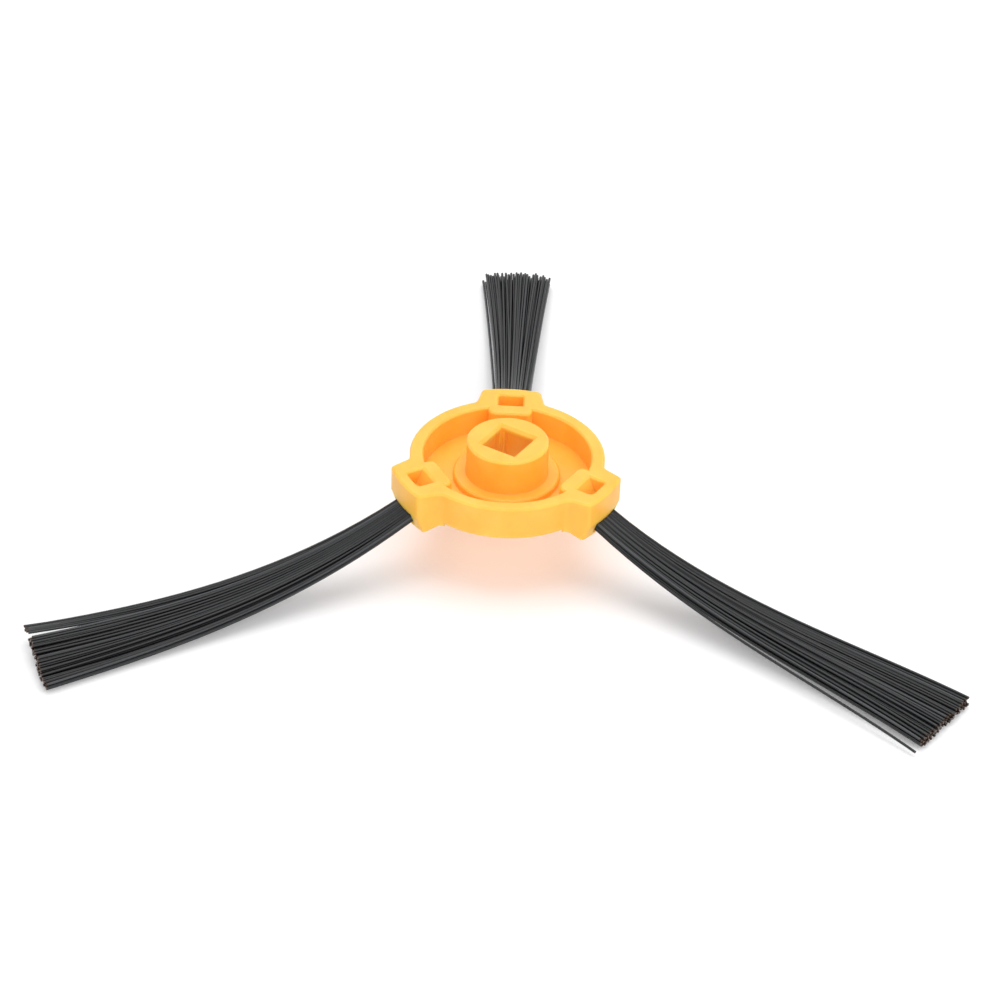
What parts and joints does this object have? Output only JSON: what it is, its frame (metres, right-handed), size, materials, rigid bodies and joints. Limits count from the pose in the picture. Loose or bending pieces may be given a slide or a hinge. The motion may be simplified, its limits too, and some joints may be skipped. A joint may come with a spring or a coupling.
{
  "type": "robot vacuum side brush",
  "caption": "Moulded hub with a square clip-on drive socket, and drooping bristle tufts that fan out from holders on its round rim.",
  "frame": {"origin": "on the hub's axis, in the end face of the drive boss, at the mouth of the square socket", "axes": "+Z along the hub's axis, out of the socket towards the vacuum; +Y towards the rear tuft"},
  "size_m": [0.1459, 0.1308, 0.02],
  "materials": {
    "hub_plastic": "satin, slightly translucent",
    "bristles": "satin nylon"
  },
  "bodies": {
    "root": {"hub": "hub_plastic", "tuft_rear": "bristles", "tuft_left": "bristles", "tuft_right": "bristles"}
  },
  "joints": []
}
